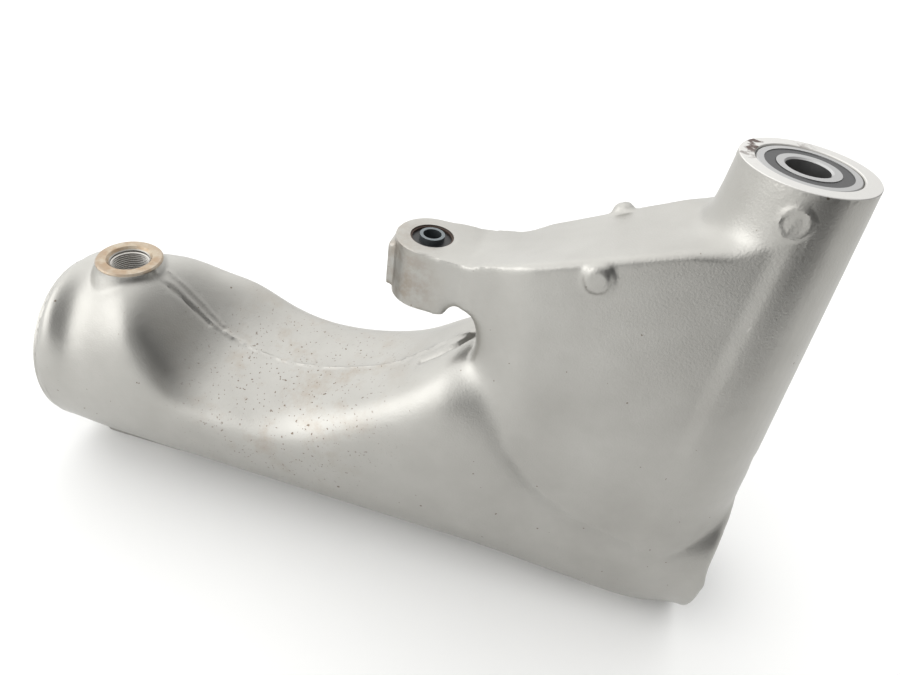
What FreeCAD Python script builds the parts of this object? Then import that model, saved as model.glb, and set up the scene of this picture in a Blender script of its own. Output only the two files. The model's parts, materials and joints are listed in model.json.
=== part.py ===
"""Motorcycle swingarm: a hollow one-piece light-alloy casting for shaft drive.

The arm lies on its right side, as it does on a bench.
Frame, in millimetres: +X points forward, from the rear pivot to the front pivot.
+Z points to the left side of the vehicle and +Y down on the vehicle.
The origin is on the front pivot axis, at the face of the right pivot boss, and the
parting plane of the casting is Y = 0.
"""
import FreeCAD, Part
import math
import os

from FreeCAD import Vector

# Overall layout
pivot_span = 305.0
wheelside_length = 366.0
rear_rim_reach = 48.0
front_rim_reach = 43.0
shock_eye_reach = 166.1

# Casting walls
tube_wall = 6.0
web_wall = 6.5
column_wall = 14.0
cavity_overrun = 2.0
core_foot_height = 45.0
core_roof_drop = 8.0
core_roof_fall = 16.0
overlap = 1.0

# Rear housing and its two pivot bosses
rear_boss_height = 152.8
rear_boss_radius = 20.7
rear_boss_rim_height = 2.2
rear_boss_flare_radius = 43.0
rear_boss_flare_drop = 52.0
rear_inner_boss_radius = 21.0
rear_inner_boss_depth = 33.0
rear_thread_minor_radius = 11.19
rear_thread_chamfer = 1.6
rear_pad_length = 80.0
rear_pad_width = 50.0
rear_pad_corner = 14.0
rear_pad_height = 16.0
rear_pin_boss_height = 26.0
rear_pin_bore_radius = 11.0
rear_lip_width = 4.0
rear_lip_depth = 1.0

# Column that carries the left pivot bearing
column_top_radius = 30.95
column_taper = 0.078
column_foot_height = 60.0
flank_setback = 1.0
column_bore_radius = 16.5
column_core_top_gap = 62.0

# Right pivot boss
right_boss_radius = 32.0
right_boss_height = 21.0

# Box beam and crotch
web_rear_edge = 129.0
beam_rear_reach = 141.0
beam_front_height = 283.0
beam_ridge_radius = 4.0
beam_rise_reach = 113.0
beam_rise_height = 239.0
beam_middle_rise = 21.0
beam_far_rise_reach = 122.0
beam_far_middle_rise = 17.0
beam_front_half_width = 60.0
crotch_height = 188.0
crotch_drop = 6.0

# Shock absorber lug
lug_radius = 20.0
lug_top = 223.9
lug_thickness = 37.0
neck_half_width = 23.0
neck_end_reach = 96.0
neck_end_half_width = 45.0
neck_spread = 4.0
neck_arch_reach = 140.5
neck_arch_radius = 9.0
lug_land_width = 20.0
lug_land_height = 27.0
lug_land_proud = 2.0

# Shock absorber bush
bush_outer_radius = 12.1
bush_shell = 1.1
bush_sleeve_radius = 7.0
bush_bore_radius = 5.1
bush_shell_recess = 0.8
bush_rubber_recess = 2.0
bush_sleeve_proud = 1.2

# Ball bearings, one at each end of the front pivot axis
bearing_outer_radius = 23.5
bearing_bore_radius = 10.0
bearing_width = 14.0
bearing_recess = 0.5
race_land_outer = 19.6
race_land_inner = 14.3
ball_radius = 3.97
ball_pitch_radius = 16.75
ball_count = 8
ball_clearance = 0.03
race_chamfer = 0.8
seal_thickness = 0.9
seal_recess = 0.35
seal_clearance = 0.15
cage_thickness = 1.0
cage_width = 10.4

# Cast-in round lands on the beam and the column
land_radius = 6.4
land_proud = 1.6
land_depth = 7.0
land_places = [(-1, 76.0, 242.6), (1, 68.0, 249.0)]

section_points = 28


class Station:
    """One cross-section of the shaft tube, across the arm at a reach from the pivot."""

    def __init__(self, x, bottom, middle, top, half_width, lean, sag, squareness, keel=2.0):
        self.x = x
        self.bottom = bottom
        self.middle = middle
        self.top = top
        self.half_width = half_width
        self.lean = lean
        self.sag = sag
        self.squareness = squareness
        self.keel = keel

    def points(self, inset):
        """Closed section from its lowest point, squarer and leaning above its middle."""
        half_width = self.half_width - inset
        points = []
        for index in range(section_points):
            angle = 2 * math.pi * index / section_points - math.pi / 2
            across = math.cos(angle)
            rise = math.sin(angle)
            if rise < 0:
                power = 2 / self.keel
                y = half_width * math.copysign(abs(across) ** power, across)
                z = self.middle - (self.middle - self.bottom - inset) * abs(rise) ** power
            else:
                power = 2 / self.squareness
                share = math.copysign(abs(across) ** power, across)
                y = half_width * share
                crest = self.top - inset + self.lean * share + self.sag * share ** 2
                z = self.middle + (crest - self.middle) * rise ** power
            points.append(Vector(self.x, y, z))
        points.append(points[0])
        return points


# Stations of the shaft tube, from the rear mouth to the front bell:
# x, bottom, middle, top, half width, lean, sag, squareness above, squareness below
tube_stations = [
    Station(rear_lip_width - wheelside_length - rear_rim_reach, 9, 71, 134, 55, 0, 0, 2.0),
    Station(-392, 8, 69, 145, 55, 0, 0, 1.9),
    Station(-368, 7, 66, 151, 55, 0, 2, 1.9),
    Station(-345, 7, 64, 147, 55, 4, 9, 2.3),
    Station(-322, 7, 62, 125, 55, 22, 10, 2.7),
    Station(-300, 7, 62, 108, 55, 28, 16, 3.0),
    Station(-275, 6.5, 61, 104, 55, 21, 11, 3.0),
    Station(-248, 6, 61, 106, 55, 15, 3, 3.0),
    Station(-217, 5.5, 60, 114, 55, 8, 2, 3.0),
    Station(-188, 4.5, 59, 125, 54.5, 1, 8, 3.0),
    Station(-160, 3.5, 58, 144, 54, -3, 9, 2.9),
    Station(-135, 2.5, 57, 165, 53.5, -3, 6, 2.8, 2.0),
    Station(-110, 2, 56, 168, 53, 0, 0, 2.6, 2.0),
    Station(-85, 1.6, 55, 148, 52.5, 0, 0, 2.3, 2.1),
    Station(-60, 1.3, 54.5, 131, 52.2, 0, 0, 2.1, 2.3),
    Station(-35, 1.2, 54, 121, 52, 0, 0, 2.0, 2.5),
    Station(-10, 1.2, 53, 116, 51.7, 0, 0, 2.0, 2.75),
    Station(16, 1.3, 53.5, 114, 50, 0, 0, 2.0, 2.75),
    Station(front_rim_reach, 1.5, 55, 113, 46.5, 0, 0, 2.0, 2.6),
]


def cylinder(radius, low, high, x=0.0, y=0.0):
    return Part.makeCylinder(radius, high - low, Vector(x, y, low))


def ring(inner, outer, low, high, x=0.0):
    return cylinder(outer, low, high, x).cut(cylinder(inner, low, high, x))


def box_between(corner, opposite):
    size = opposite - corner
    return Part.makeBox(size.x, size.y, size.z, corner)


def revolved(profile, x=0.0):
    """Turn a closed profile of (radius, height) points about the vertical at x."""
    points = []
    for radius, height in profile:
        points.append(Vector(radius, 0, height))
    points.append(points[0])
    face = Part.Face(Part.makePolygon(points))
    solid = face.revolve(Vector(0, 0, 0), Vector(0, 0, 1), 360)
    solid.translate(Vector(x, 0, 0))
    return solid


def side_prism(outline, half_depth):
    """Extrude a closed outline of (x, z) points across the arm."""
    points = []
    for x, z in outline:
        points.append(Vector(x, -half_depth, z))
    points.append(points[0])
    return Part.Face(Part.makePolygon(points)).extrude(Vector(0, 2 * half_depth, 0))


def column_radius(height):
    return column_top_radius + column_taper * (pivot_span - height)


def flank_wedge(x_low, x_high, low, high, inset):
    """Block between the two drafted flanks of the web."""
    wide = column_radius(low) - flank_setback - inset
    narrow = column_radius(high) - flank_setback - inset
    points = [
        Vector(x_low, -wide, low),
        Vector(x_low, wide, low),
        Vector(x_low, narrow, high),
        Vector(x_low, -narrow, high),
        Vector(x_low, -wide, low),
    ]
    return Part.Face(Part.makePolygon(points)).extrude(Vector(x_high - x_low, 0, 0))


def shaft_tube(inset, overrun):
    """Skin over the tube stations; the overrun carries a core out of both mouths."""
    rows = []
    for station in tube_stations:
        rows.append(station.points(inset))
    surface = Part.BSplineSurface()
    surface.interpolate(rows)
    side = surface.toShape()
    first, last = surface.bounds()[0:2]
    rear_end = Part.Face(Part.Wire([surface.uIso(first).toShape()]))
    front_end = Part.Face(Part.Wire([surface.uIso(last).toShape()]))
    shell = Part.Shell([side, rear_end, front_end])
    shell.sewShape()
    tube = Part.Solid(shell)
    if tube.Volume < 0:
        tube.reverse()
    if overrun == 0:
        return tube
    rear = rear_end.extrude(Vector(-overrun, 0, 0))
    front = front_end.extrude(Vector(overrun, 0, 0))
    return tube.fuse([rear, front])


def rear_lip():
    """Turned spigot at the rear mouth that seats the rubber boot."""
    curve = Part.BSplineCurve()
    curve.interpolate(Points=tube_stations[0].points(rear_lip_depth)[:-1], PeriodicFlag=True)
    face = Part.Face(Part.Wire([curve.toShape()]))
    return face.extrude(Vector(-rear_lip_width, 0, 0))


def beam_outline(far):
    """Side outline of the web and beam, on the near or the far flank."""
    if far:
        rise = (-beam_far_rise_reach, lug_top - overlap)
        middle = (-beam_rise_reach / 2, beam_rise_height + beam_far_middle_rise)
    else:
        rise = (-beam_rise_reach, beam_rise_height)
        middle = (-beam_rise_reach / 2, beam_rise_height + beam_middle_rise)
    return [
        (-web_rear_edge, column_foot_height),
        (0, column_foot_height),
        (0, beam_front_height),
        middle,
        rise,
        (-beam_rear_reach, lug_top - overlap / 2),
        (-beam_rear_reach, crotch_height),
        (-web_rear_edge, crotch_height - crotch_drop),
    ]


def plan_taper(low, high):
    """Prism that narrows the web from the width of the beam to that of the lug."""
    rear = -beam_rear_reach - overlap
    edge = [
        (rear, neck_half_width),
        (-web_rear_edge, neck_half_width + neck_spread),
        (-neck_end_reach, neck_end_half_width),
        (overlap, beam_front_half_width),
    ]
    points = []
    for x, y in edge:
        points.append(Vector(x, y, low))
    for x, y in reversed(edge):
        points.append(Vector(x, -y, low))
    points.append(points[0])
    return Part.Face(Part.makePolygon(points)).extrude(Vector(0, 0, high - low))


def web():
    """Triangular web and box beam between the shaft tube and the column."""
    half_depth = 2 * column_top_radius
    wires = []
    for far, y in [(False, -half_depth), (True, half_depth)]:
        points = []
        for x, z in beam_outline(far):
            points.append(Vector(x, y, z))
        points.append(points[0])
        wires.append(Part.makePolygon(points))
    side = Part.makeLoft(wires, True, True)
    reach = beam_rear_reach + overlap
    low = column_foot_height - overlap
    wedge = flank_wedge(-reach, overlap, low, pivot_span, 0)
    taper = plan_taper(low, pivot_span)
    plate = side.common(wedge).common(taper)
    ridges = []
    for edge in plate.Edges:
        middle = edge.valueAt((edge.FirstParameter + edge.LastParameter) / 2)
        if middle.z > beam_rise_height and abs(middle.y) > beam_ridge_radius:
            ridges.append(edge)
    return plate.makeFillet(beam_ridge_radius, ridges)


def column():
    foot = column_radius(column_foot_height)
    height = pivot_span - column_foot_height
    return Part.makeCone(foot, column_top_radius, height, Vector(0, 0, column_foot_height))


def shock_lug():
    """Lug with a neck that runs into the web, and a machined land on its rear."""
    low = lug_top - lug_thickness
    eye = cylinder(lug_radius, low, lug_top, -shock_eye_reach)
    root = neck_spread - web_rear_edge
    points = [
        Vector(-shock_eye_reach, -lug_radius, low),
        Vector(-beam_rear_reach, -neck_half_width + overlap / 2, low),
        Vector(root, -neck_half_width, low),
        Vector(root, neck_half_width, low),
        Vector(-beam_rear_reach, neck_half_width - overlap / 2, low),
        Vector(-shock_eye_reach, lug_radius, low),
        Vector(-shock_eye_reach, -lug_radius, low),
    ]
    neck = Part.Face(Part.makePolygon(points)).extrude(Vector(0, 0, lug_thickness))
    land_low = low + (lug_thickness - lug_land_height) / 2
    land_rear = -shock_eye_reach - lug_radius - lug_land_proud
    land = box_between(
        Vector(land_rear, -lug_land_width / 2, land_low),
        Vector(-shock_eye_reach, lug_land_width / 2, land_low + lug_land_height),
    )
    return eye.fuse([neck, land])


def neck_arch():
    """Round hollow under the neck, between the lug and the crotch."""
    return Part.makeCylinder(
        neck_arch_radius,
        4 * column_top_radius,
        Vector(-neck_arch_reach, -2 * column_top_radius, lug_top - lug_thickness),
        Vector(0, 1, 0),
    )


def rear_boss():
    """Flared boss on the rear housing for the threaded left pivot pin."""
    top = rear_boss_height
    shoulder = top - rear_boss_rim_height
    flare_foot = top - rear_boss_flare_drop
    return revolved(
        [
            (0, flare_foot),
            (rear_boss_flare_radius, flare_foot),
            (rear_boss_radius, shoulder),
            (rear_boss_radius, top),
            (0, top),
        ],
        -wheelside_length,
    )


def rear_pad():
    """Flat-sided pad under the rear housing, round the right pivot pin bore."""
    half_length = rear_pad_length / 2
    half_width = rear_pad_width / 2
    block = box_between(
        Vector(-wheelside_length - half_length, -half_width, 0),
        Vector(-wheelside_length + half_length, half_width, rear_pad_height),
    )
    corners = []
    for edge in block.Edges:
        if abs(edge.tangentAt(edge.FirstParameter).z) > 0.5:
            corners.append(edge)
    return block.makeFillet(rear_pad_corner, corners)


def round_lands():
    """Round cast lands on both flanks of the beam."""
    lands = []
    for side, reach, height in land_places:
        proud = column_radius(height) - flank_setback + land_proud
        foot = Vector(-reach, side * (proud - land_depth), height)
        lands.append(Part.makeCylinder(land_radius, land_depth, foot, Vector(0, side, 0)))
    return lands


def front_limit():
    """Space in front of the front mouth, where the column may not reach."""
    reach = 2 * column_top_radius
    return box_between(
        Vector(front_rim_reach, -reach, -overlap),
        Vector(front_rim_reach + reach, reach, pivot_span + overlap),
    )


def web_core():
    """Hollow inside the web and the column, open below to the shaft tunnel."""
    rear = -web_rear_edge + web_wall
    roof = beam_rise_height - web_wall - core_roof_drop
    ceiling = pivot_span - column_core_top_gap - web_wall
    outline = [
        (rear, core_foot_height),
        (0, core_foot_height),
        (0, ceiling),
        (-column_top_radius, ceiling),
        (-beam_rise_reach + web_wall, roof),
        (rear, roof - core_roof_fall),
    ]
    low = core_foot_height - overlap
    wedge = flank_wedge(rear - overlap, overlap, low, pivot_span, web_wall)
    core = side_prism(outline, 2 * column_top_radius).common(wedge)
    taper = plan_taper(low, pivot_span)
    taper.translate(Vector(2 * web_wall, 0, 0))
    return core.common(taper)


def column_core():
    low = core_foot_height
    high = pivot_span - column_core_top_gap
    foot = column_radius(low) - column_wall
    head = column_radius(high) - column_wall
    return Part.makeCone(foot, head, high - low, Vector(0, 0, low))


def bearing_seats():
    """Seats of both pivot bearings and the pin passages behind them."""
    depth = bearing_width + bearing_recess
    left_seat = cylinder(bearing_outer_radius, pivot_span - depth, pivot_span + overlap)
    bore_foot = pivot_span - column_core_top_gap - overlap
    left_bore = cylinder(column_bore_radius, bore_foot, pivot_span)
    right_seat = cylinder(bearing_outer_radius, -overlap, depth)
    right_bore = cylinder(column_bore_radius, 0, right_boss_height + overlap)
    return [left_seat, left_bore, right_seat, right_bore]


def rear_bores():
    """Threaded hole above and plain pin bore below, on the rear pivot axis."""
    x = -wheelside_length
    top = rear_boss_height
    thread_foot = top - rear_inner_boss_depth - overlap
    thread = cylinder(rear_thread_minor_radius, thread_foot, top + overlap, x)
    mouth = Part.makeCone(
        rear_thread_minor_radius,
        rear_thread_minor_radius + rear_thread_chamfer,
        rear_thread_chamfer,
        Vector(x, 0, top - rear_thread_chamfer),
    )
    pin = cylinder(rear_pin_bore_radius, -overlap, rear_pin_boss_height + overlap, x)
    return [thread, mouth, pin]


def casting():
    additions = [
        rear_lip(),
        web(),
        column(),
        shock_lug(),
        rear_boss(),
        rear_pad(),
    ] + round_lands()
    body = shaft_tube(0, 0).fuse(additions)
    body = body.cut([front_limit(), neck_arch()])
    body = body.cut(shaft_tube(tube_wall, rear_lip_width + cavity_overrun))
    body = body.cut(web_core())
    body = body.cut(column_core())
    rear_x = -wheelside_length
    high = rear_boss_height - overlap
    low = rear_boss_height - rear_inner_boss_depth
    inner_bosses = [
        cylinder(right_boss_radius, 0, right_boss_height),
        cylinder(rear_inner_boss_radius, 0, rear_pin_boss_height, rear_x),
        cylinder(rear_inner_boss_radius - overlap, low, high, rear_x),
    ]
    body = body.fuse(inner_bosses)
    body = body.cut(bearing_seats() + rear_bores())
    eye_foot = lug_top - lug_thickness - overlap
    return body.cut(cylinder(bush_outer_radius, eye_foot, lug_top + overlap, -shock_eye_reach))


def groove_cut(low):
    """Torus that cuts the ball track in a race."""
    centre = Vector(0, 0, low + bearing_width / 2)
    return Part.makeTorus(ball_pitch_radius, ball_radius + ball_clearance, centre)


def outer_race(low):
    high = low + bearing_width
    bevel = race_chamfer
    blank = revolved(
        [
            (race_land_outer, low),
            (bearing_outer_radius - bevel, low),
            (bearing_outer_radius, low + bevel),
            (bearing_outer_radius, high - bevel),
            (bearing_outer_radius - bevel, high),
            (race_land_outer, high),
        ]
    )
    return blank.cut(groove_cut(low))


def inner_race(low):
    high = low + bearing_width
    bevel = race_chamfer
    blank = revolved(
        [
            (bearing_bore_radius + bevel, low),
            (race_land_inner, low),
            (race_land_inner, high),
            (bearing_bore_radius + bevel, high),
            (bearing_bore_radius, high - bevel),
            (bearing_bore_radius, low + bevel),
        ]
    )
    return blank.cut(groove_cut(low))


def balls(low):
    solids = []
    for index in range(ball_count):
        angle = 2 * math.pi * index / ball_count
        x = ball_pitch_radius * math.cos(angle)
        y = ball_pitch_radius * math.sin(angle)
        solids.append(Part.makeSphere(ball_radius, Vector(x, y, low + bearing_width / 2)))
    return Part.makeCompound(solids)


def ball_cage(low):
    """Ribbon cage on the pitch circle, with a pocket round every ball."""
    middle = low + bearing_width / 2
    inner = ball_pitch_radius - cage_thickness / 2
    outer = ball_pitch_radius + cage_thickness / 2
    band = ring(inner, outer, middle - cage_width / 2, middle + cage_width / 2)
    pocket_radius = ball_radius + ball_clearance
    for index in range(ball_count):
        angle = 2 * math.pi * index / ball_count
        outward = Vector(math.cos(angle), math.sin(angle), 0)
        centre = Vector(0, 0, middle)
        band = band.cut(Part.makeCylinder(pocket_radius, bearing_outer_radius, centre, outward))
    return band


def seal(low):
    inner = race_land_inner + seal_clearance
    return ring(inner, race_land_outer, low, low + seal_thickness)


def bush_shell_piece():
    low = lug_top - lug_thickness + bush_shell_recess
    inner = bush_outer_radius - bush_shell
    return ring(inner, bush_outer_radius, low, lug_top - bush_shell_recess, -shock_eye_reach)


def bush_rubber_piece():
    low = lug_top - lug_thickness + bush_rubber_recess
    outer = bush_outer_radius - bush_shell
    return ring(bush_sleeve_radius, outer, low, lug_top - bush_rubber_recess, -shock_eye_reach)


def bush_sleeve_piece():
    low = lug_top - lug_thickness - bush_sleeve_proud
    high = lug_top + bush_sleeve_proud
    return ring(bush_bore_radius, bush_sleeve_radius, low, high, -shock_eye_reach)


def pivot_bearing(side, low):
    """Pieces of one sealed ball bearing whose lower face is at a height."""
    high = low + bearing_width
    return {
        side + "_bearing_outer_race": outer_race(low),
        side + "_bearing_inner_race": inner_race(low),
        side + "_bearing_balls": balls(low),
        side + "_bearing_cage": ball_cage(low),
        side + "_bearing_upper_seal": seal(high - seal_recess - seal_thickness),
        side + "_bearing_lower_seal": seal(low + seal_recess),
    }


def all_pieces():
    pieces = {"swingarm_casting": casting()}
    left_low = pivot_span - bearing_recess - bearing_width
    pieces.update(pivot_bearing("left", left_low))
    pieces.update(pivot_bearing("right", bearing_recess))
    pieces["shock_bush_shell"] = bush_shell_piece()
    pieces["shock_bush_rubber"] = bush_rubber_piece()
    pieces["shock_bush_sleeve"] = bush_sleeve_piece()
    return pieces


os.makedirs("parts", exist_ok=True)
for name, shape in all_pieces().items():
    print(name, "solids", len(shape.Solids), "valid", shape.isValid(), "volume", round(shape.Volume))
    shape.exportStep("parts/" + name + ".step")
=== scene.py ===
"""Looks of the cast light-alloy swingarm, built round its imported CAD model.

The CAD casting is rebuilt as one smooth cast skin: it is remeshed, its creases are
blended, cast ridges and dents are raised on it, and its machined faces are cut crisp.
Lengths are in millimetres until they reach Blender, which works in metres.
"""

import json
import math

import bpy
import numpy as np
from mathutils import Matrix, Vector
from mathutils.bvhtree import BVHTree

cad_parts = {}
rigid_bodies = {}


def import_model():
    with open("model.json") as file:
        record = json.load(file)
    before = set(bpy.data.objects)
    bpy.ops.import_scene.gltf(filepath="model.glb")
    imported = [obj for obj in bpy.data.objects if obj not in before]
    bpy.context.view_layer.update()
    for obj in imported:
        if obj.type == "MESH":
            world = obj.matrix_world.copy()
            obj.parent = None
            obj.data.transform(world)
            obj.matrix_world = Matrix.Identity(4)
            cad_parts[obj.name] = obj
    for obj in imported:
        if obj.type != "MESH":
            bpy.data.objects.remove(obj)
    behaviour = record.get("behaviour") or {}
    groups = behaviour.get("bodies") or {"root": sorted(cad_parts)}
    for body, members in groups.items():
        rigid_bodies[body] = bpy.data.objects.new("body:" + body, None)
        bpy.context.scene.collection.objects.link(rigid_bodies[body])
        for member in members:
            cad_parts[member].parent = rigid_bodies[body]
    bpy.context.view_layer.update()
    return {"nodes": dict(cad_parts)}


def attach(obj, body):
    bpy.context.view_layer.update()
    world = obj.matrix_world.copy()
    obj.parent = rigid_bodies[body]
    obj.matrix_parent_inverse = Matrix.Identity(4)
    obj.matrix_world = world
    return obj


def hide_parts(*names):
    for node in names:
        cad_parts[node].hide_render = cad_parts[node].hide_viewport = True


MM = 0.001

# Camera, fitted to the picture
camera_place = Vector((-97.98, -310.38, 410.44))
camera_right = Vector((0.95913, 0.25397, 0.12479))
camera_up = Vector((-0.25534, 0.58671, 0.76849))
camera_forward = Vector((-0.12196, 0.76894, -0.62758))
focal_pixels = 660.0
picture_width = 900
picture_height = 675
sensor_width = 36.0

# Shape of the casting
voxel = 1.5
sharp_angle = 38.0
fine_rounds = 6
face_budget = 176000
pivot_span = 305.0
pivot_ring_radius = 30.95
bearing_seat_radius = 23.5
bearing_seat_depth = 14.5
pivot_passage_radius = 16.5
right_ring_radius = 32.0
rear_axis = -366.0
rear_boss_top = 152.8
rear_boss_radius = 20.7
thread_major_radius = 12.05
thread_minor_radius = 11.25
thread_pitch = 1.5
thread_length = 30.0
lug_axis = -166.1
lug_radius = 20.0
lug_top = 223.9
lug_low = 186.9
bush_seat_radius = 12.1
pin_bore_radius = 11
pin_bore_top = 27
mouth_middle = 71
mouth_half_width = 55
mouth_height_up = 63
mouth_height_down = 62
round_segments = 128


def new_object(name, vertices, faces):
    """Mesh object from points in millimetres."""
    mesh = bpy.data.meshes.new(name)
    points = [(x * MM, y * MM, z * MM) for x, y, z in vertices]
    mesh.from_pydata(points, [], faces)
    mesh.update()
    piece = bpy.data.objects.new(name, mesh)
    bpy.context.scene.collection.objects.link(piece)
    return piece


def remove_object(piece):
    mesh = piece.data
    bpy.data.objects.remove(piece)
    bpy.data.meshes.remove(mesh)


def plug(profile, x=0.0):
    """Solid turned from (radius, height) points that rise from its foot to its top."""
    vertices = []
    faces = []
    count = len(profile)
    for radius, height in profile:
        for step in range(round_segments):
            angle = 2 * math.pi * step / round_segments
            vertices.append((x + radius * math.cos(angle), radius * math.sin(angle), height))
    for level in range(count - 1):
        low = level * round_segments
        high = low + round_segments
        for step in range(round_segments):
            following = (step + 1) % round_segments
            faces.append((low + step, low + following, high + following, high + step))
    faces.append(tuple(reversed(range(round_segments))))
    faces.append(tuple(range((count - 1) * round_segments, count * round_segments)))
    return new_object("tool", vertices, faces)


def combine(body, tool, operation):
    """Boolean of a tool on the body; the tool is used up."""
    modifier = body.modifiers.new("combine", "BOOLEAN")
    modifier.operation = operation
    modifier.solver = "MANIFOLD"
    modifier.object = tool
    apply_modifiers(body)
    remove_object(tool)


def apply_modifiers(piece):
    graph = bpy.context.evaluated_depsgraph_get()
    mesh = bpy.data.meshes.new_from_object(piece.evaluated_get(graph))
    old = piece.data
    piece.modifiers.clear()
    piece.data = mesh
    bpy.data.meshes.remove(old)


def read_points(mesh):
    points = np.empty(len(mesh.vertices) * 3, np.float32)
    mesh.vertices.foreach_get("co", points)
    return points.reshape(-1, 3).astype(float) / MM


def write_points(mesh, points):
    mesh.vertices.foreach_set("co", (points * MM).astype(np.float32).ravel())
    mesh.update()


def read_normals(mesh):
    normals = np.empty(len(mesh.vertices) * 3, np.float32)
    mesh.vertex_normals.foreach_get("vector", normals)
    return normals.reshape(-1, 3).astype(float)


def neighbour_mean(points, starts, ends, degree):
    """Mean place of every point's neighbours along the mesh edges."""
    mean = np.empty_like(points)
    total = len(points)
    for axis in range(3):
        column = points[:, axis]
        sums = np.bincount(starts, column[ends], total) + np.bincount(ends, column[starts], total)
        mean[:, axis] = sums / degree
    return mean


def segment_distance(points, start, end):
    """Distance from every point to a straight segment."""
    start = np.array(start, float)
    along = np.array(end, float) - start
    length = max(float(along @ along), 1e-9)
    share = np.clip((points - start) @ along / length, 0, 1)
    nearest = start + share[:, None] * along
    return np.linalg.norm(points - nearest, axis=1)


def fade(distance, reach):
    """One inside, falling smoothly to nought at the reach."""
    share = np.clip(1 - distance / reach, 0, 1)
    return share * share * (3 - 2 * share)


def smooth(mesh):
    """Even out the voxel steps everywhere, then blend the creases inside each zone."""
    points = read_points(mesh)
    edges = np.empty(len(mesh.edges) * 2, np.int32)
    mesh.edges.foreach_get("vertices", edges)
    starts, ends = edges.reshape(-1, 2).T
    degree = np.bincount(starts, minlength=len(points)) + np.bincount(ends, minlength=len(points))
    degree = np.maximum(degree, 1).astype(float)
    for _ in range(fine_rounds):
        for strength in (0.5, -0.52):
            points += strength * (neighbour_mean(points, starts, ends, degree) - points)
    for start, end, reach, rounds in blend_zones:
        near = segment_distance(points, start, end) < reach * 1.15
        chosen = np.nonzero(near)[0]
        place = np.full(len(points), -1)
        place[chosen] = np.arange(len(chosen))
        inside = near[starts] & near[ends]
        local_starts = place[starts[inside]]
        local_ends = place[ends[inside]]
        local = points[chosen]
        local_degree = np.bincount(local_starts, minlength=len(local))
        local_degree = local_degree + np.bincount(local_ends, minlength=len(local))
        local_degree = np.maximum(local_degree, 1).astype(float)
        weight = fade(segment_distance(local, start, end), reach)[:, None] * 0.6
        for _ in range(rounds):
            local += weight * (neighbour_mean(local, local_starts, local_ends, local_degree) - local)
        points[chosen] = local
    write_points(mesh, points)


def pixel_ray(u, v):
    across = (u - picture_width / 2) / focal_pixels
    down = (v - picture_height / 2) / focal_pixels
    return (camera_forward + camera_right * across - camera_up * down).normalized()


def on_surface(tree, pixels):
    """Points of the casting seen at places in the picture, in millimetres."""
    found = []
    for u, v in pixels:
        place, normal, _, _ = tree.ray_cast(camera_place * MM, pixel_ray(u, v))
        if place is not None:
            found.append(np.array(place) / MM)
    return found


def press_lines(mesh):
    """Raise or sink the skin along lines drawn over the picture."""
    tree = BVHTree.FromPolygons(
        [vertex.co.copy() for vertex in mesh.vertices],
        [tuple(polygon.vertices) for polygon in mesh.polygons],
    )
    points = read_points(mesh)
    normals = read_normals(mesh)
    lift = np.zeros(len(points))
    for pixels, reach, height in pressed_lines:
        path = on_surface(tree, pixels)
        distance = np.full(len(points), 1e9)
        for start, end in zip(path, path[1:]):
            distance = np.minimum(distance, segment_distance(points, start, end))
        lift += height * fade(distance, reach)
    write_points(mesh, points + normals * lift[:, None])


def tilt_crest(mesh):
    """Raise the near edge of the beam and lower its far edge."""
    points = read_points(mesh)
    reach = points[:, 0]
    rise = np.interp(reach, [x for x, _ in crest_rise], [rise for _, rise in crest_rise])
    crest = np.interp(reach, [x for x, _ in crest_height], [height for _, height in crest_height])
    share = np.clip((points[:, 2] - crest + 10) / 8, 0, 1)
    points[:, 2] -= rise * share * np.clip(points[:, 1] / 33, -1, 1)
    write_points(mesh, points)


def press_discs(mesh):
    """Round cast lands and the ring mark on the near flank, from their centres in space."""
    points = read_points(mesh)
    for x, y, z, radius, height, ring_height in pressed_discs:
        centre = np.array((x, y, z), float)
        distance = np.linalg.norm(points - centre, axis=1)
        lift = height * fade(np.maximum(distance - radius + 1.5, 0), 2.4)
        lift += ring_height * fade(np.abs(distance - radius), 1.9)
        points[:, 1] += np.sign(y) * lift
    write_points(mesh, points)


def keep_inside(mesh, source):
    """No point of the skin goes past the box of the piece that it replaces."""
    limits = read_points(source.data)
    points = read_points(mesh)
    write_points(mesh, np.clip(points, limits.min(axis=0), limits.max(axis=0)))


def crest_filler():
    """Hollow round between the crest of the beam and the column."""
    outline = [(-64, 250), (-62, 255.0), (-45, 264.0), (-33, 273.0), (-27, 279.5), (-21, 291.0),
               (-18, 299.0), (-4, 299.0), (-4, 250.0)]
    return prism(outline, 31.0)


def prism(outline, half_width):
    """Solid of an outline in the XZ plane, as wide to both sides of the middle."""
    count = len(outline)
    vertices = [(x, -half_width, z) for x, z in outline] + [(x, half_width, z) for x, z in outline]
    faces = [tuple(range(count)), tuple(reversed(range(count, 2 * count)))]
    for index in range(count):
        after = (index + 1) % count
        faces.append((index, index + count, after + count, after))
    return new_object("tool", vertices, faces)


def neck_filler():
    """Fills the round hollow under the neck as far as the picture shows it filled."""
    outline = [(-156, 186.5), (-146, 190.5), (-138, 189.0), (-131, 185.0), (-124, 178.0), (-118, 200.0),
               (-156, 200.0)]
    return prism(outline, 23.5)


def mouth_section(inset):
    """Outline of the rear mouth, as (y, z) points."""
    outline = []
    for step in range(round_segments):
        angle = 2 * math.pi * step / round_segments
        rise = math.sin(angle)
        half_height = mouth_height_up if rise > 0 else mouth_height_down
        y = (mouth_half_width - inset) * math.cos(angle)
        z = mouth_middle + (half_height - inset) * rise
        outline.append((y, z))
    return outline


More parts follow.
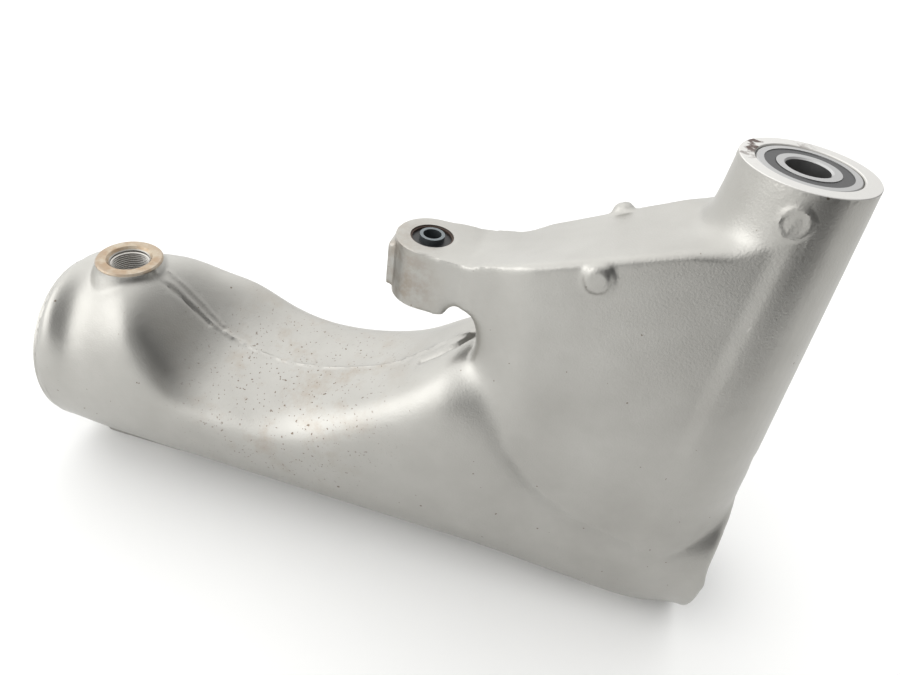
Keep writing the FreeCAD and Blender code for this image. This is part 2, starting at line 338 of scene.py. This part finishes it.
def mouth_ring(profile):
    """Machined lip round the rear mouth, from (x, inset) points."""
    vertices = []
    faces = []
    count = len(profile)
    sections = [mouth_section(inset) for _, inset in profile]
    for step in range(round_segments):
        for index, (x, _) in enumerate(profile):
            y, z = sections[index][step]
            vertices.append((x, y, z))
    for step in range(round_segments):
        following = (step + 1) % round_segments
        for index in range(count):
            after = (index + 1) % count
            faces.append((step * count + index, step * count + after,
                          following * count + after, following * count + index))
    return new_object("mouth_lip", vertices, faces)


def thread_sleeve():
    """Inner wall of the rear boss with its fine helical thread."""
    per_turn = 64
    profile = [(0.0, thread_minor_radius), (0.15, thread_minor_radius),
               (0.5, thread_major_radius), (0.65, thread_major_radius)]
    turns = int(thread_length / thread_pitch)
    low = rear_boss_top - 1.7 - thread_length
    vertices = []
    faces = []
    width = len(profile)
    for step in range(turns * per_turn + 1):
        angle = 2 * math.pi * step / per_turn
        for share, radius in profile:
            height = low + thread_pitch * (step / per_turn + share - 1)
            height = min(max(height, low), low + thread_length)
            vertices.append((rear_axis + radius * math.cos(angle), radius * math.sin(angle), height))
    for step in range(turns * per_turn):
        for index in range(width - 1):
            first = step * width + index
            faces.append((first, first + 1, first + width + 1, first + width))
        after = (step + per_turn) * width
        if step + per_turn + 1 <= turns * per_turn:
            last = step * width + width - 1
            faces.append((last, after, after + width, last + width))
    return new_object("rear_thread", vertices, faces)


def cast_skin(source):
    """The casting rebuilt with soft cast blends and crisp machined faces."""
    piece = bpy.data.objects.new("cast_skin", source.data.copy())
    bpy.context.scene.collection.objects.link(piece)
    piece.data.materials.clear()
    combine(piece, neck_filler(), "UNION")
    combine(piece, crest_filler(), "UNION")
    remesh = piece.modifiers.new("remesh", "REMESH")
    remesh.mode = "VOXEL"
    remesh.voxel_size = voxel * MM * 1.0
    apply_modifiers(piece)
    smooth(piece.data)
    tilt_crest(piece.data)
    press_discs(piece.data)
    press_lines(piece.data)
    if len(piece.data.polygons) * 2 > face_budget:
        decimate = piece.modifiers.new("decimate", "DECIMATE")
        decimate.ratio = face_budget / (len(piece.data.polygons) * 2)
        apply_modifiers(piece)
    keep_inside(piece.data, source)
    machine(piece)
    piece.data.shade_smooth()
    piece.data.set_sharp_from_angle(angle=math.radians(sharp_angle))
    return piece


def machine(piece):
    """Cut the machined faces and bores crisp."""
    top = pivot_span
    combine(piece, plug([(pivot_ring_radius + 0.15, top - 3.2), (pivot_ring_radius, top - 0.3),
                                 (pivot_ring_radius - 0.3, top)]), "UNION")
    combine(piece, plug([(bearing_seat_radius, top - bearing_seat_depth),
                                 (bearing_seat_radius, top - 0.6),
                                 (bearing_seat_radius + 0.8, top + 0.2)]), "DIFFERENCE")
    combine(piece, plug([(pivot_passage_radius, 240), (pivot_passage_radius, top - 14)]),
            "DIFFERENCE")
    combine(piece, plug([(right_ring_radius, 0), (right_ring_radius, 4)]), "UNION")
    combine(piece, plug([(bearing_seat_radius, -1), (bearing_seat_radius, bearing_seat_depth)]),
            "DIFFERENCE")
    combine(piece, plug([(pivot_passage_radius, 14), (pivot_passage_radius, 22)]), "DIFFERENCE")
    top = rear_boss_top
    combine(piece, plug([(rear_boss_radius, top - 4), (rear_boss_radius, top - 0.9),
                                 (rear_boss_radius - 0.9, top)], rear_axis), "UNION")
    combine(piece, plug([(thread_major_radius, 117), (thread_major_radius, top - 2.1),
                                 (thread_major_radius + 2.2, top + 0.1)], rear_axis), "DIFFERENCE")
    combine(piece, plug([(pin_bore_radius, -1), (pin_bore_radius, pin_bore_top)], rear_axis),
            "DIFFERENCE")
    combine(piece, plug([(lug_radius - 0.8, lug_low), (lug_radius, lug_low + 0.8),
                                 (lug_radius, lug_top - 0.7), (lug_radius - 0.7, lug_top)],
                        lug_axis), "UNION")
    combine(piece, plug([(bush_seat_radius, lug_low - 1), (bush_seat_radius, lug_top + 1)],
                        lug_axis), "DIFFERENCE")
    combine(piece, mouth_ring([(-414, 1.5), (-413.6, 1.0), (-412.2, 1.0), (-412, 1.35), (-411.8, 1.0),
                               (-410, 1.0), (-409.8, 0.1), (-408, 0.0), (-408, 6.0), (-413.6, 6.0),
                               (-414, 5.6)]), "UNION")


# Creases to blend: from, to, reach, rounds
blend_zones = [
    ((-30, -24, 284), (-30, 24, 284), 24, 120),
    ((-114, -38, 218), (-114, -40, 185), 20, 160),
    ((-114, 38, 218), (-114, 40, 185), 20, 160),
    ((-120, -44, 165), (40, -46, 112), 28, 160),
    ((-120, 44, 165), (40, 46, 112), 28, 160),
    ((-130, -36, 180), (-112, -52, 110), 24, 60),
    ((-130, 36, 180), (-112, 52, 110), 24, 60),
    ((40, -42, 120), (40, -44, 70), 18, 60),
    ((40, 42, 120), (40, 44, 70), 18, 60),
    ((-366, 0, 112), (-366, 0, 104), 42, 40),
    ((-346, -38, 96), (-330, -42, 70), 34, 200),
    ((-346, 38, 96), (-330, 42, 70), 34, 200),
    ((-131, -24, 186), (-131, 24, 186), 17, 40),
    ((-148, -21, 205), (-148, -21, 192), 10, 25),
    ((-148, 21, 205), (-148, 21, 192), 10, 25),
    ((-30, -34, 245), (-30, -34, 180), 16, 40),
    ((-30, 34, 245), (-30, 34, 180), 16, 40),
]

# Cast lands and the ring mark: centre, radius, height of the disc and of its ring
pressed_discs = [
    (-76, -36.5, 242.6, 6.4, 0.9, 0.2),
    (-4.9, -31.8, 290.5, 6.6, 0.1, 0.9),
]

# Cast ridges and dents drawn over the picture: places, reach, height
pressed_lines = [
    ([(226, 332), (243, 343), (262, 353), (285, 361), (305, 365), (335, 368), (368, 367), (400, 362),
      (420, 354), (440, 345), (470, 333)], 1.9, 1.1),
    ([(420, 361), (440, 353), (458, 344), (474, 335)], 3.4, -2.2),
    ([(151, 272), (170, 288), (190, 306), (210, 325)], 1.7, -0.7),
    ([(155, 270), (174, 285), (195, 305), (216, 326), (232, 338)], 1.6, 0.6),
    ([(168, 271), (187, 287), (207, 307), (224, 326)], 1.6, 0.6),
]

# Middle of the crest of the beam: reach along X and how far its near edge rises
crest_rise = [(-146, 0.0), (-132, 2.6), (-113, 3.6), (-95, 3.0), (-75, 2.2), (-50, 1.2), (-25, 0.0)]
crest_height = [(-146, 219.0), (-113, 231.0), (-77, 246.0), (-44, 261.0), (-25, 272.0)]


def material(name):
    made = bpy.data.materials.new(name)
    made.use_nodes = True
    nodes = made.node_tree.nodes
    nodes.clear()
    output = nodes.new("ShaderNodeOutputMaterial")
    shader = nodes.new("ShaderNodeBsdfPrincipled")
    made.node_tree.links.new(shader.outputs[0], output.inputs[0])
    return made, made.node_tree, shader


def position(tree):
    return tree.nodes.new("ShaderNodeTexCoord").outputs["Object"]


def noise(tree, scale, detail=3.0, roughness=0.5):
    node = tree.nodes.new("ShaderNodeTexNoise")
    node.inputs["Scale"].default_value = scale
    node.inputs["Detail"].default_value = detail
    node.inputs["Roughness"].default_value = roughness
    tree.links.new(position(tree), node.inputs["Vector"])
    return node.outputs[0]


def ramp(tree, value, low, high):
    """Nought below low, one above high."""
    node = tree.nodes.new("ShaderNodeMapRange")
    node.inputs["From Min"].default_value = low
    node.inputs["From Max"].default_value = high
    tree.links.new(value, node.inputs["Value"])
    return node.outputs[0]


def times(tree, first, second):
    node = tree.nodes.new("ShaderNodeMath")
    node.operation = "MULTIPLY"
    tree.links.new(first, node.inputs[0])
    if isinstance(second, float):
        node.inputs[1].default_value = second
    else:
        tree.links.new(second, node.inputs[1])
    return node.outputs[0]


def mix_colour(tree, share, first, second):
    node = tree.nodes.new("ShaderNodeMix")
    node.data_type = "RGBA"
    tree.links.new(share, node.inputs["Factor"])
    for socket, value in ((node.inputs[6], first), (node.inputs[7], second)):
        if isinstance(value, tuple):
            socket.default_value = value + (1.0,)
        else:
            tree.links.new(value, socket)
    return node.outputs[2]


def bump(tree, shader, height, distance, strength=1.0):
    node = tree.nodes.new("ShaderNodeBump")
    node.inputs["Strength"].default_value = strength
    node.inputs["Distance"].default_value = distance
    tree.links.new(height, node.inputs["Height"])
    tree.links.new(node.outputs[0], shader.inputs["Normal"])


def zone_mask(tree, centre, radius):
    """One near a place, fading to nought at the radius, both in millimetres."""
    node = tree.nodes.new("ShaderNodeVectorMath")
    node.operation = "DISTANCE"
    tree.links.new(position(tree), node.inputs[0])
    node.inputs[1].default_value = tuple(value * MM for value in centre)
    return ramp(tree, node.outputs["Value"], radius * MM, radius * MM * 0.4)


def height_mask(tree, low, high):
    """One above a height in millimetres."""
    node = tree.nodes.new("ShaderNodeSeparateXYZ")
    tree.links.new(position(tree), node.inputs[0])
    return ramp(tree, node.outputs["Z"], low * MM, high * MM)


def silver_paint():
    made, tree, shader = material("silver_paint")
    cloud = noise(tree, 14, 5, 0.6)
    fine = noise(tree, 900, 2)
    mottled = mix_colour(tree, ramp(tree, cloud, 0.3, 0.7), (0.375, 0.366, 0.345), (0.45, 0.443, 0.42))
    scoop = zone_mask(tree, (-240, -20, 108), 95)
    specks = times(tree, ramp(tree, noise(tree, 520, 2, 0.4), 0.67, 0.72), scoop)
    stains = times(tree, ramp(tree, noise(tree, 38, 6, 0.72), 0.5, 0.72), scoop)
    colour = mix_colour(tree, times(tree, stains, 0.55), mottled, (0.30, 0.24, 0.18))
    colour = mix_colour(tree, times(tree, specks, 0.85), colour, (0.12, 0.085, 0.06))
    lug_dirt = times(tree, ramp(tree, noise(tree, 60, 5, 0.7), 0.42, 0.62),
                     zone_mask(tree, (-178, -6, 203), 34))
    colour = mix_colour(tree, times(tree, lug_dirt, 0.6), colour, (0.25, 0.20, 0.15))
    dots = times(tree, ramp(tree, noise(tree, 340, 1, 0.3), 0.80, 0.812), 0.8)
    colour = mix_colour(tree, dots, colour, (0.14, 0.11, 0.08))
    boss_face = times(tree, height_mask(tree, 150.9, 151.6), zone_mask(tree, (-366, 0, 152), 40))
    tan = mix_colour(tree, ramp(tree, noise(tree, 120, 4, 0.6), 0.4, 0.6), (0.34, 0.25, 0.17),
                     (0.42, 0.36, 0.28))
    colour = mix_colour(tree, boss_face, colour, tan)
    ring_face = height_mask(tree, 304.6, 304.9)
    colour = mix_colour(tree, ring_face, colour, (0.66, 0.65, 0.63))
    chips = times(tree, times(tree, ramp(tree, noise(tree, 90, 4, 0.6), 0.5, 0.56), ring_face),
                  zone_mask(tree, (-24, 20, 305), 34))
    colour = mix_colour(tree, chips, colour, (0.07, 0.035, 0.025))
    tree.links.new(colour, shader.inputs["Base Color"])
    shader.inputs["Metallic"].default_value = 0.95
    shader.inputs["Roughness"].default_value = 0.38
    bump(tree, shader, fine, 0.00022, 0.5)
    return made


def plain(name, colour, metallic, roughness, grain=0.0):
    made, tree, shader = material(name)
    shader.inputs["Base Color"].default_value = colour + (1.0,)
    shader.inputs["Metallic"].default_value = metallic
    shader.inputs["Roughness"].default_value = roughness
    if grain:
        bump(tree, shader, noise(tree, 400), grain)
    return made


def dress(piece, made):
    piece.data.materials.clear()
    piece.data.materials.append(made)


def build_camera():
    camera = bpy.data.cameras.new("camera")
    camera.sensor_width = sensor_width
    camera.lens = focal_pixels * sensor_width / picture_width
    holder = bpy.data.objects.new("camera", camera)
    turn = Matrix((camera_right, camera_up, -camera_forward)).transposed()
    holder.matrix_world = Matrix.Translation(camera_place * MM) @ turn.to_4x4()
    bpy.context.scene.collection.objects.link(holder)
    bpy.context.scene.camera = holder


def build_world():
    """White behind the object; the light is stronger from above and from behind it."""
    world = bpy.data.worlds.new("world")
    bpy.context.scene.world = world
    world.use_nodes = True
    tree = world.node_tree
    tree.nodes.clear()
    output = tree.nodes.new("ShaderNodeOutputWorld")
    coordinates = tree.nodes.new("ShaderNodeTexCoord")
    direction = tree.nodes.new("ShaderNodeVectorMath")
    direction.operation = "DOT_PRODUCT"
    tree.links.new(coordinates.outputs["Generated"], direction.inputs[0])
    direction.inputs[1].default_value = Vector((-0.65, 0.4, 0.65)).normalized()
    strength = tree.nodes.new("ShaderNodeMapRange")
    strength.inputs["From Min"].default_value = -0.3
    strength.inputs["From Max"].default_value = 0.85
    strength.inputs["To Min"].default_value = 0.25
    strength.inputs["To Max"].default_value = 1.75
    tree.links.new(direction.outputs["Value"], strength.inputs["Value"])
    room = tree.nodes.new("ShaderNodeBackground")
    room.inputs["Color"].default_value = (1.0, 1.0, 0.99, 1.0)
    white = tree.nodes.new("ShaderNodeBackground")
    white.inputs["Strength"].default_value = 1.0
    window = tree.nodes.new("ShaderNodeVectorMath")
    window.operation = "DOT_PRODUCT"
    tree.links.new(coordinates.outputs["Generated"], window.inputs[0])
    window.inputs[1].default_value = Vector((-0.72, -0.68, 0.16)).normalized()
    window_light = tree.nodes.new("ShaderNodeMath")
    window_light.operation = "MULTIPLY_ADD"
    tree.links.new(ramp(tree, window.outputs["Value"], 0.72, 0.97), window_light.inputs[0])
    window_light.inputs[1].default_value = 1.6
    tree.links.new(strength.outputs[0], window_light.inputs[2])
    tree.links.new(window_light.outputs[0], room.inputs["Strength"])
    path = tree.nodes.new("ShaderNodeLightPath")
    chosen = tree.nodes.new("ShaderNodeMixShader")
    tree.links.new(path.outputs["Is Camera Ray"], chosen.inputs[0])
    tree.links.new(room.outputs[0], chosen.inputs[1])
    tree.links.new(white.outputs[0], chosen.inputs[2])
    tree.links.new(chosen.outputs[0], output.inputs[0])


def build_floor():
    size = 4000
    floor = new_object("floor", [(-size, -size, 0), (size, -size, 0), (size, size, 0), (-size, size, 0)],
                       [(0, 1, 2, 3)])
    floor.location.z = -0.0002
    dress(floor, plain("floor_white", (0.93, 0.93, 0.925), 0.0, 0.6))


def build_shade():
    """Dark panel that the paint mirrors; it isn't seen itself."""
    panel = new_object("shade", [(120, -620, 0), (800, -420, 0), (800, -420, 900), (120, -620, 900)],
                       [(0, 1, 2, 3)])
    dress(panel, plain("shade_cloth", (0.02, 0.02, 0.022), 0.0, 0.9))
    panel.visible_camera = False


def build_settings():
    bpy.context.scene.view_settings.view_transform = "Standard"


def main():
    for piece in list(bpy.data.objects):
        bpy.data.objects.remove(piece)
    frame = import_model()
    nodes = frame["nodes"]
    paint = silver_paint()
    skin = cast_skin(nodes["swingarm_casting"])
    dress(skin, paint)
    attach(skin, "arm")
    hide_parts("swingarm_casting")
    thread = thread_sleeve()
    dress(thread, plain("thread_metal", (0.55, 0.53, 0.5), 0.9, 0.35))
    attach(thread, "arm")
    steel = plain("bearing_steel", (0.42, 0.42, 0.42), 0.95, 0.3)
    dark = plain("seal_rubber", (0.05, 0.05, 0.052), 0.1, 0.5)
    rust = plain("rusty_steel", (0.07, 0.045, 0.035), 0.4, 0.6, 0.0003)
    rubber = plain("bush_rubber", (0.012, 0.012, 0.013), 0.0, 0.45)
    sleeve = plain("sleeve_steel", (0.15, 0.17, 0.18), 0.8, 0.35)
    for name, piece in nodes.items():
        if name.endswith("seal"):
            dress(piece, dark)
        elif name.endswith(("race", "balls", "cage")):
            dress(piece, steel)
    dress(nodes["shock_bush_shell"], rust)
    dress(nodes["shock_bush_rubber"], rubber)
    dress(nodes["shock_bush_sleeve"], sleeve)
    build_floor()
    build_shade()
    build_world()
    build_camera()
    build_settings()


main()
